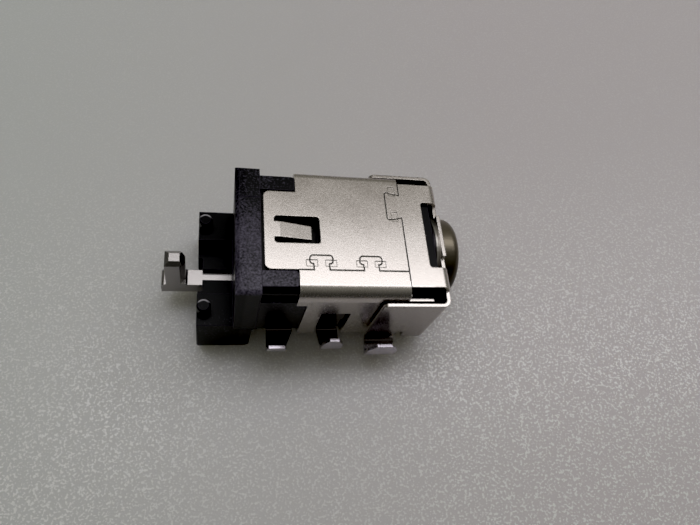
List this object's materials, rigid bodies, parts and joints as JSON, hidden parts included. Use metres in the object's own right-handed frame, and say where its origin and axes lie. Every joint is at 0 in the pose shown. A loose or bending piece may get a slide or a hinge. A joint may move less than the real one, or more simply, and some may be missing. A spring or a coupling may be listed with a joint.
{
  "type": "dc barrel jack",
  "caption": "Sunk-mount DC power jack: folded metal shell, round nose with a centre pin, plastic housing behind, J-shaped solder tails and locating pegs.",
  "frame": {"origin": "on the plug's axis, at the outer face of the front plate", "axes": "+X out of the socket along the plug's axis, +Z towards the board that the pegs and tails enter"},
  "size_m": [0.0203, 0.013, 0.0094],
  "materials": {
    "nickel_sheet": "satin nickel plate",
    "nose_metal": "dull turned metal",
    "black_plastic": "fine-grained moulding",
    "pin_metal": "turned, plated",
    "tinned_terminal": "bright tin, blanked edges",
    "contact_strip": "tinned spring strip"
  },
  "bodies": {
    "root": {"shell": "nickel_sheet", "nose_ring": "nose_metal", "housing": "black_plastic", "centre_pin": "pin_metal", "centre_terminal": "tinned_terminal", "near_barrel_contact": "contact_strip", "far_barrel_contact": "contact_strip", "near_rear_contact": "contact_strip", "far_rear_contact": "contact_strip"}
  },
  "joints": []
}
